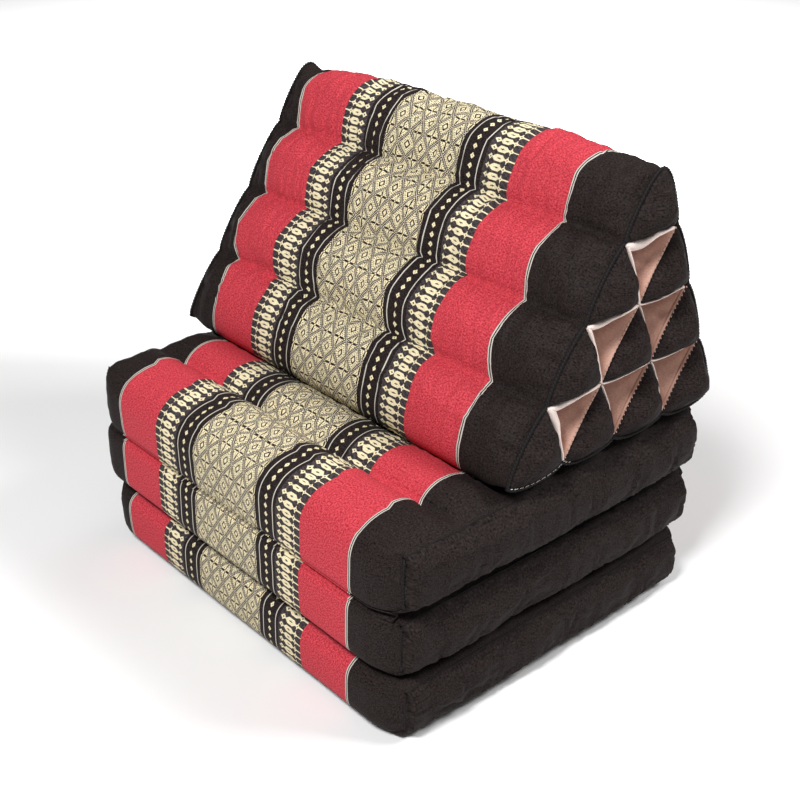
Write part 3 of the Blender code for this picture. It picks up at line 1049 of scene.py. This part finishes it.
def build_skin():
    """A flat grid rolled into the prism, its two long edges meeting at the front seam."""
    piece = fresh(
        "wedge_cover", bpy.ops.mesh.primitive_grid_add,
        x_subdivisions=WEDGE_STATIONS, y_subdivisions=3 * STEPS, size=2,
    )
    grid = [(vert.co.x, round((vert.co.y + 1) / 2 * 3 * STEPS)) for vert in piece.data.vertices]
    middle = [skin_point(0, step) for step in range(3 * STEPS + 1)]
    lengths = [0.0]
    for here, there in zip(middle, middle[1:]):
        lengths.append(lengths[-1] + (there - here).length)
    for vert, (x, step) in zip(piece.data.vertices, grid):
        vert.co = skin_point(x * WEDGE_HALF, step)
    turned = -1 if skin_faces_inwards(piece) else 1
    crumples = [turned * skin_crumple(x * WEDGE_HALF, step) for x, step in grid]
    moved_along_normals(piece, lambda index, spot: crumples[index])
    for vert in piece.data.vertices:
        vert.co.z = max(vert.co.z, SEAT)
    hold(piece, [
        n for n, (x, step) in enumerate(grid)
        if abs(x) > 0.995 or step < 6 or step > 2 * STEPS - 6 or (step % CELL_STEPS == 0 and step != STEPS)
    ])

    def cloth_at(face, index):
        x, step = grid[index]
        x = x * WEDGE_HALF
        return (x + WEDGE_OFF_X - WEDGE_PATTERN_MIDDLE - drift(x, step)) / WEDGE_STRETCH, lengths[step]

    lay_cloth(piece, cloth_at)
    return piece


WEDGE_PATTERN_MIDDLE = -0.012
WEDGE_STRETCH = 1.0306
WEDGE_DRIFT = (0.0, 0.0, -0.009, -0.007, -0.005, -0.005)
LEFT_SLACK = 0.008


def drift(x, step):
    """How far the cloth has slipped along X on the triangle, tube by tube up the front, and at its left end."""
    tube_number = min(step, STEPS) / CELL_STEPS + 0.5
    n = min(int(tube_number), len(WEDGE_DRIFT) - 2)
    slip = WEDGE_DRIFT[n] + (WEDGE_DRIFT[n + 1] - WEDGE_DRIFT[n]) * smooth(tube_number - n)
    return slip - LEFT_SLACK * smooth((-x - 0.14) / 0.07) * smooth(tube_number - 0.8)


def sew_wedge():
    """Skin and ends, joined at their rims."""
    skin = build_skin()
    ends = [build_end(side) for side in (-1, 1)]
    for end in ends:
        points = end.data.vertices
        lay_cloth(end, lambda face, index: (BLACK_PART + points[index].co.y, points[index].co.z))
        end.data.materials.append(black_cloth)
        end.data.materials.append(black_cloth)
        for face in end.data.polygons:
            face.material_index = 1
    skin.data.materials.append(banded_cloth)
    skin.data.materials.append(black_cloth)
    bpy.ops.object.select_all(action="DESELECT")
    for end in ends:
        end.select_set(True)
    skin.select_set(True)
    bpy.context.view_layer.objects.active = skin
    bpy.ops.object.join()
    bpy.ops.object.mode_set(mode="EDIT")
    bpy.ops.mesh.select_all(action="SELECT")
    bpy.ops.mesh.remove_doubles(threshold=0.00005)
    bpy.ops.mesh.normals_make_consistent(inside=False)
    bpy.ops.object.mode_set(mode="OBJECT")
    return skin


wedge = sew_wedge()
settle(wedge, WEDGE_FRAMES)
finish_piece(wedge)
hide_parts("wedge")

# %% [markdown]
# ## Pocket linings
# Each of the six pockets of an end is lined with pink cloth. The lining is turned over the pocket's mouth as
# a soft lip, thickest along the top edge near the front, where it is pulled tight round the stuffing. The lip
# is coloured near-white, which is painted light, and the walls a darker pink, which is painted shade.
# A flat grid is rolled into a funnel: one way it runs round the three edges of the mouth, the other way down
# the wall, ring by ring, from behind the black cloth over the lip to the pocket's floor.

# %% Shape a lining
Pocket = namedtuple("Pocket", "row place top_lip side_lip")
POCKETS = (
    Pocket(1, 0, 0.0125, 0.0028),
    Pocket(2, 0, 0.0076, 0.0044),
    Pocket(2, 1, 0.0036, 0.0022),
    Pocket(3, 0, 0.0084, 0.0088),
    Pocket(3, 1, 0.0040, 0.0026),
    Pocket(3, 2, 0.0040, 0.0022),
)
Ring = namedtuple("Ring", "inward depth size lip")
LINING_RINGS = (
    Ring(0.00, 0.0016, 1.00, 1),
    Ring(0.00, -0.0004, 1.00, 1),
    Ring(0.10, -0.0020, 1.00, 1),
    Ring(0.50, -0.0022, 1.00, 1),
    Ring(0.88, -0.0006, 1.00, 1),
    Ring(1.00, 0.0030, 0.99, 1),
    Ring(0.95, 0.0080, 0.97, 0),
    Ring(0.60, 0.0140, 0.92, 0),
    Ring(0.10, 0.0220, 0.81, 0),
    Ring(0.00, 0.0300, 0.66, 0),
    Ring(0.00, 0.0380, 0.50, 0),
    Ring(0.00, 0.0450, 0.30, 0),
    Ring(0.00, 0.0475, 0.12, 0),
    Ring(0.00, 0.0480, 0.00, 0),
)
EDGE_STEPS = 40
MOUTH_SHARE = 0.975
CORNER_TUCK = 0.040
STITCHED_LIP = 0.0007
RIM_LIP = 0.0014
EDGE_BOW = 0.0022


def mouth(pocket, t):
    """A point on the pocket's mouth and how thick its lip is there. t runs from 0 to 3, along the top edge
    from front to back, down the stitched edge and up the front edge."""
    top_front = end_point(pocket.row / CELLS, pocket.place / CELLS)
    top_back = end_point(pocket.row / CELLS, (pocket.place + 1) / CELLS)
    bottom = end_point((pocket.row + 1) / CELLS, (pocket.place + 1) / CELLS)
    edge, share = int(t) % 3, t - int(t)
    start, stop = ((top_front, top_back), (top_back, bottom), (bottom, top_front))[edge]
    middle = (top_front + top_back + bottom) / 3
    corner = min(1.0, share / 0.10, (1 - share) / 0.10)
    sag = (1 - share) ** 0.9 * (0.50 + 0.50 * math.sin(math.pi * min(1.0, 1.5 * share)))
    lip = (
        RIM_LIP + (pocket.top_lip - RIM_LIP) * sag,
        STITCHED_LIP,
        RIM_LIP + (pocket.side_lip - RIM_LIP) * smooth(share * 1.15),
    )[edge]
    inward = -outward_from(start, stop, middle)
    spot = start + (stop - start) * share + inward * EDGE_BOW * 4 * share * (1 - share)
    return spot, inward, STITCHED_LIP + (lip - STITCHED_LIP) * smooth(corner)


def outward_from(start, stop, middle):
    """The direction across the line from start to stop that leads away from the point middle."""
    along = (stop - start).normalized()
    across = Vector((-along.y, along.x))
    return across if across.dot(start - middle) > 0 else -across


def corner_tuck(pocket, t):
    """How much further a lining is drawn in at a corner that lies on one of the end seams."""
    on_seam = (pocket.place == 0, pocket.place + 1 == pocket.row, pocket.row + 1 == CELLS)
    return CORNER_TUCK * max(0.0, 1 - abs(t - round(t)) / 0.12) * on_seam[round(t) % 3]


def lining_point(pocket, side, t, ring):
    """Carries a point of the flat grid onto the lining."""
    spot, inward, lip = mouth(pocket, t)
    centre = end_point((pocket.row + 1 / 3) / CELLS, (pocket.place + 1 / 3) / CELLS)
    front = end_point(pocket.row / CELLS, pocket.place / CELLS)
    deep = centre + (front - centre) * 0.22
    spot = centre + (spot - centre) * (MOUTH_SHARE - corner_tuck(pocket, t)) + inward * lip * ring.inward
    spot = deep + (spot - deep) * ring.size
    share = t % 1
    crease = ripple(t * 9.0, ring.depth / 0.03, pocket.row * 3.1 + pocket.place + side) * 0.0016
    crease *= min(1.0, ring.depth / 0.010) * ring.size if ring.depth > 0 else 0.0
    wave = ripple(t * 4.0, pocket.row * 5.3 + pocket.place, side) * 0.0010 * ring.lip
    spot = spot + inward * (crease + wave * math.sin(math.pi * share))
    return Vector((end_x(side) - side * ring.depth, spot.x, spot.y)) + FOLD_CENTRE


def rolled_grid(name, columns, rows, point_at, cloth_at=lambda column, row: (column * 0.002, row * 0.004)):
    """A flat grid whose points are carried to point_at(column, row), and its cloth coordinates to cloth_at."""
    piece = fresh(
        name, bpy.ops.mesh.primitive_grid_add, x_subdivisions=columns, y_subdivisions=rows, size=2,
    )
    places = [(round((v.co.x + 1) / 2 * columns), round((v.co.y + 1) / 2 * rows)) for v in piece.data.vertices]
    for vert, (column, row) in zip(piece.data.vertices, places):
        vert.co = point_at(column, row)
    lay_cloth(piece, lambda face, index: cloth_at(*places[index]))
    for face in piece.data.polygons:
        face.material_index = min(places[index][1] for index in face.vertices)
    return piece


def merged(piece):
    """Merges the points of a rolled piece that lie on each other, and turns its faces outwards."""
    bpy.ops.object.select_all(action="DESELECT")
    piece.select_set(True)
    bpy.context.view_layer.objects.active = piece
    bpy.ops.object.mode_set(mode="EDIT")
    bpy.ops.mesh.select_all(action="SELECT")
    bpy.ops.mesh.remove_doubles(threshold=0.00002)
    bpy.ops.mesh.normals_make_consistent(inside=False)
    bpy.ops.object.mode_set(mode="OBJECT")


def thickened(piece, thickness, offset):
    """Gives a sheet its thickness."""
    wall = piece.modifiers.new("wall", "SOLIDIFY")
    wall.thickness = thickness
    wall.offset = offset
    bpy.ops.object.modifier_apply(modifier=wall.name)


def flat_area(piece):
    """The area of one side of a sheet, in square metres."""
    return sum(face.area for face in piece.data.polygons)


def build_lining(pocket, side, word, number):
    """One pocket's lining."""
    columns = 3 * EDGE_STEPS
    piece = rolled_grid(
        f"pocket_{word}_{number}", columns, len(LINING_RINGS) - 1,
        lambda column, row: lining_point(pocket, side, column % columns / EDGE_STEPS, LINING_RINGS[row]),
    )
    # Lip faces take the near-white copy of the lining cloth, with painted light; the walls and the stitched
    # edge take the darker copy, with painted shade.
    for n, face in enumerate(piece.data.polygons):
        edge = n % columns // EDGE_STEPS
        face.material_index = int(edge != 1 and LINING_RINGS[n // columns].lip == 1)
    merged(piece)
    area = flat_area(piece)
    thickened(piece, 0.0010, -1)
    finish_piece(piece, shaded_lining_cloth, lit_lip_cloth)
    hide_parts(f"lining_{word}_{number}")


# %% Line the twelve pockets
for side, word in ((-1, "left"), (1, "right")):
    for number, pocket in enumerate(POCKETS, 1):
        build_lining(pocket, side, word, number)

# %% [markdown]
# ## Overcast seams
# The ends are sewn on by hand with an overcast stitch, which wraps a thread round both raw edges and leaves a
# small raised rope. It is a thin tube that follows the seam, and its thickness rises and falls along a spiral
# as the thread goes round. The same tube, thinner and smoother, makes the seams of the mats.

# %% Sew a raised seam
def along_path(path, step):
    """Points a step apart along a path of points, and the direction there."""
    lengths = [0.0]
    for here, there in zip(path, path[1:]):
        lengths.append(lengths[-1] + (there - here).length)
    count = max(2, round(lengths[-1] / step))
    spots = []
    span = 0
    for n in range(count + 1):
        want = lengths[-1] * n / count
        while span < len(path) - 2 and lengths[span + 1] < want:
            span += 1
        share = (want - lengths[span]) / max(1e-9, lengths[span + 1] - lengths[span])
        spots.append((path[span].lerp(path[span + 1], min(1.0, share)), want))
    return spots


def sew_seam(name, path, radius, pitch, relief, material, closed=False):
    """A raised seam along a path: a tube whose thickness rises and falls along a spiral."""
    spots = along_path(path, 0.0011)
    around = 8
    last = len(spots) - 1

    def point_at(column, row):
        spot, length = spots[column % last if closed else column]
        before, after = spots[max(0, column - 1)][0], spots[min(last, column + 1)][0]
        if closed and column in (0, last):
            before, after = spots[last - 1][0], spots[1][0]
        along = (after - before).normalized()
        across = along.cross(Vector((0.31, 0.17, 0.93))).normalized()
        over = along.cross(across)
        angle = 2 * math.pi * (row % around) / around
        turn = 2 * math.pi * length / pitch + angle
        thick = radius * (1 + relief * math.sin(turn)) * (1 + 0.12 * ripple(length / 0.006, radius * 1000))
        if not closed and column in (0, last):
            thick *= 0.05
        return spot + (across * math.cos(angle) + over * math.sin(angle)) * thick

    piece = rolled_grid(name, last, around, point_at)
    for face in piece.data.polygons:
        face.material_index = 0
    merged(piece)
    finish_piece(piece, material)
    return piece


def wedge_seam_path(side):
    """The line of the seam round one end of the triangle, just proud of both cloths."""
    path = []
    for step in range(0, 3 * STEPS + 1):
        spot = skin_point(side * WEDGE_HALF, step % (3 * STEPS))
        flat = Vector((spot.y, spot.z)) - Vector((FOLD_CENTRE.y, FOLD_CENTRE.z))
        out = (flat - CENTRE).normalized() * 0.0006
        path.append(spot + Vector((side * 0.0002, out.x, out.y)))
    return path


for side, word in ((-1, "left"), (1, "right")):
    sew_seam(f"end_seam_{word}", wedge_seam_path(side), 0.0020, 0.0038, 0.30, black_thread, closed=True)

# %% [markdown]
# The mats' side panels are sewn in with a finer seam, which shows as a slim ridge along the panel's top and
# bottom edge and down its corners. At the front corners of the top mat it is oversewn, like the triangle's.

# %% Sew the mats' seams
def panel_seam_path(mat, floor, side):
    """The line round one side panel of a mat."""
    along, down = PANEL_CUTS
    ring = [(2 * n / along - 1, 1) for n in range(along)] + [(1, 1 - 2 * n / down) for n in range(down)]
    ring += [(-v, -w) for v, w in ring]
    places = [Vector((side, v, w)) for v, w in ring]
    spots = [mat_point(mat, floor, *place) for place in places]
    soften_edges(mat, places, spots)
    return spots + spots[:1]


PANEL_CUTS = (48, 16)
for mat, level in zip(MATS, floors):
    for side, word in ((-1, "left"), (1, "right")):
        path = panel_seam_path(mat, level, side)
        sew_seam(f"{mat.name}_seam_{word}", path, 0.0008, 0.0034, 0.30, black_thread, closed=True)
        if mat is MATS[-1]:
            front_corner = path[2 * PANEL_CUTS[0] + PANEL_CUTS[1]:]
            sew_seam(f"corner_seam_{word}", front_corner, 0.0016, 0.0040, 0.35, black_thread)

# %% [markdown]
# ## Stitches
# Single stitches show where the thread is of another colour: the pink lining is caught down along the back
# edge of each pocket every four or five millimetres, and pale ends of thread show along the front of the
# right end's base. One stitch is a small drawn-out ball, and every other is a copy of it.

# %% Set the stitches
def set_stitches(name, places, length, thickness, material):
    """Copies one stitch to each (place, direction), and joins the copies."""
    first = fresh(name, bpy.ops.mesh.primitive_uv_sphere_add, segments=6, ring_count=5, radius=0.5)
    copies = []
    for spot, direction in places:
        copy = first.copy()
        copy.data = first.data.copy()
        bpy.context.collection.objects.link(copy)
        turned = direction.to_track_quat("Z", "Y").to_matrix().to_4x4()
        turned.translation = spot
        copy.data.transform(turned @ Matrix.Diagonal((thickness, thickness, length, 1)))
        copies.append(copy)
    bpy.data.objects.remove(first)
    bpy.ops.object.select_all(action="DESELECT")
    for copy in copies:
        copy.select_set(True)
    bpy.context.view_layer.objects.active = copies[0]
    bpy.ops.object.join()
    piece = bpy.context.object
    piece.name = piece.data.name = name
    finish_piece(piece, material)
    return piece


STITCHES_AN_EDGE = 17
STITCH_STANDS_OUT = 0.0022


def pocket_stitches(side, offset):
    """(place, direction) of the stitches over the back edge of each pocket, all leaning the same way."""
    places = []
    for pocket in POCKETS:
        for n in range(STITCHES_AN_EDGE):
            spot, inward, lip = mouth(pocket, 1 + (n + 0.5 + offset) / STITCHES_AN_EDGE * 0.96 + 0.01)
            lean = Vector((0, inward.x, inward.y)) + Vector((side * 0.35, 0, 0.55))
            centre = spot + inward * STITCHED_LIP
            place = Vector((end_x(side) + side * STITCH_STANDS_OUT, centre.x, centre.y)) + FOLD_CENTRE
            places.append((place, lean.normalized()))
    return places


def base_stitches():
    """(place, direction) of the pale stitches along the front of the right end's base."""
    places = []
    for n in range(BASE_STITCHES):
        here, there = (skin_point(WEDGE_HALF, 3 * STEPS - 1 - spot) for spot in (n, n + 1))
        lean = (there - here).normalized() + Vector((0.5, 0, 0.9 if n % 2 else 0.5))
        places.append((here.lerp(there, 0.3 * (n % 2)) + Vector((0.0022, 0, 0.0016)), lean.normalized()))
    return places


BASE_STITCHES = 22
set_stitches("base_stitches", base_stitches(), 0.0026, 0.0008, pale_thread)
for side, word in ((-1, "left"), (1, "right")):
    pink_places, dark_places = pocket_stitches(side, 0.0), pocket_stitches(side, 0.5)
    set_stitches(f"pink_stitches_{word}", pink_places, 0.0044, 0.0013, pink_thread)
    set_stitches(f"dark_stitches_{word}", dark_places, 0.0040, 0.0014, black_thread)

# %% [markdown]
# ## Fold strips
# Where one section folds onto the next, the cover runs on from one to the other as a narrow strip, with its
# pattern unbroken. The strip in the front crease is the one that shows. Each is a grid that bends from one
# section's round into the crease and out over the other's.

# %% Lay the fold strips
def turned_edge(mat, floor, x, back, side):
    """Three (y, z) points down a mat's rounded front (back -1) or back (1), from near its top or underside."""
    places = ((0.917, side), (1, side), (1, side / 2))
    return [Vector(mat_skin(mat, floor, x - mat.off_x, back * v, w)) for v, w in places]


def stood_off(start, stop, middle):
    """The point at stop, moved off the skin so that a strip there leaves a small gap."""
    return stop + outward_from(start, stop, middle) * STRIP_OFF


def crease_line(lower, upper, floor, back, x):
    """A strip's line between two mats: off the upper one's round, into the crease, and onto the lower one's."""
    level = floor + lower.thickness + GAP
    under = turned_edge(upper, level, x, back, -1)
    over = turned_edge(lower, floor, x, back, 1)
    middles = [Vector((0, level + upper.thickness / 2)), Vector((0, floor + lower.thickness / 2))]
    crease = Vector((back * max(abs(under[0].x), abs(over[0].x)), level - GAP / 2))
    return [stood_off(*under[:2], middles[0]), crease, stood_off(*over[:2], middles[1])]


def wedge_line(mat, floor, x):
    """The same behind the triangle: up from the top mat's back, past the back seam and up the triangle."""
    over = turned_edge(mat, floor, x, 1, 1)
    middle = Vector((0, floor + mat.thickness / 2))
    seam, above = (skin_point(x - WEDGE_OFF_X, step).yz - FOLD_CENTRE.yz for step in (2 * STEPS, 2 * STEPS - 1))
    up = (above - seam).normalized()
    seam_off = seam + outward_from(seam, above, CENTRE) * STRIP_OFF
    half_way = (over[1] + over[2]) / 2
    return [stood_off(over[1], half_way, middle), stood_off(half_way, over[1], middle),
            seam_off, seam_off + up * STRIP_UP_THE_BACK]


STRIP_OFF = 0.0012
STRIP_THICKNESS = 0.0012
CREASE_HALF = 0.258
WEDGE_STRIP_HALF = 0.200
STRIP_UP_THE_BACK = 0.014
STRIP_CUTS = (160, 9)


def build_strip(node, name, half, line_at, top_v, bottom_v, middle_u):
    """A strip of cover cloth. Its lines are smoothed from the few points of line_at."""
    columns, rows = STRIP_CUTS

    def point_at(column, row):
        x = half * (2 * column / columns - 1)
        line = line_at(x)
        share = row / rows * (len(line) - 1)
        n = min(int(share), len(line) - 2)
        before, start, stop, after = (line[min(len(line) - 1, max(0, n + k))] for k in (-1, 0, 1, 2))
        t = share - n
        spot = 0.5 * (
            2 * start + (stop - before) * t + (2 * before - 5 * start + 4 * stop - after) * t * t
            + (3 * start - before - 3 * stop + after) * t ** 3
        )
        return Vector((x, spot.x, spot.y)) + FOLD_CENTRE

    def cloth_at(column, row):
        x = half * (2 * column / columns - 1)
        return x - middle_u, top_v + (bottom_v - top_v) * row / rows

    piece = rolled_grid(name, columns, rows, point_at, cloth_at)
    for face in piece.data.polygons:
        face.material_index = 0
    area = flat_area(piece)
    thickened(piece, STRIP_THICKNESS, 0)
    finish_piece(piece, banded_cloth)
    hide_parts(node)


bottom, middle, top = MATS
crease = CREASE_CLOTH
build_strip("fold_front", "front_fold", CREASE_HALF, lambda x: crease_line(middle, top, floors[1], -1, x),
            0.0, -crease, PATTERN_MIDDLE)
build_strip("fold_back", "back_fold", CREASE_HALF, lambda x: crease_line(bottom, middle, floors[0], 1, x),
            0.0, -crease, PATTERN_MIDDLE)
build_strip("fold_wedge", "triangle_fold", WEDGE_STRIP_HALF, lambda x: wedge_line(top, floors[2], x),
            0.0, 0.03, WEDGE_PATTERN_MIDDLE)
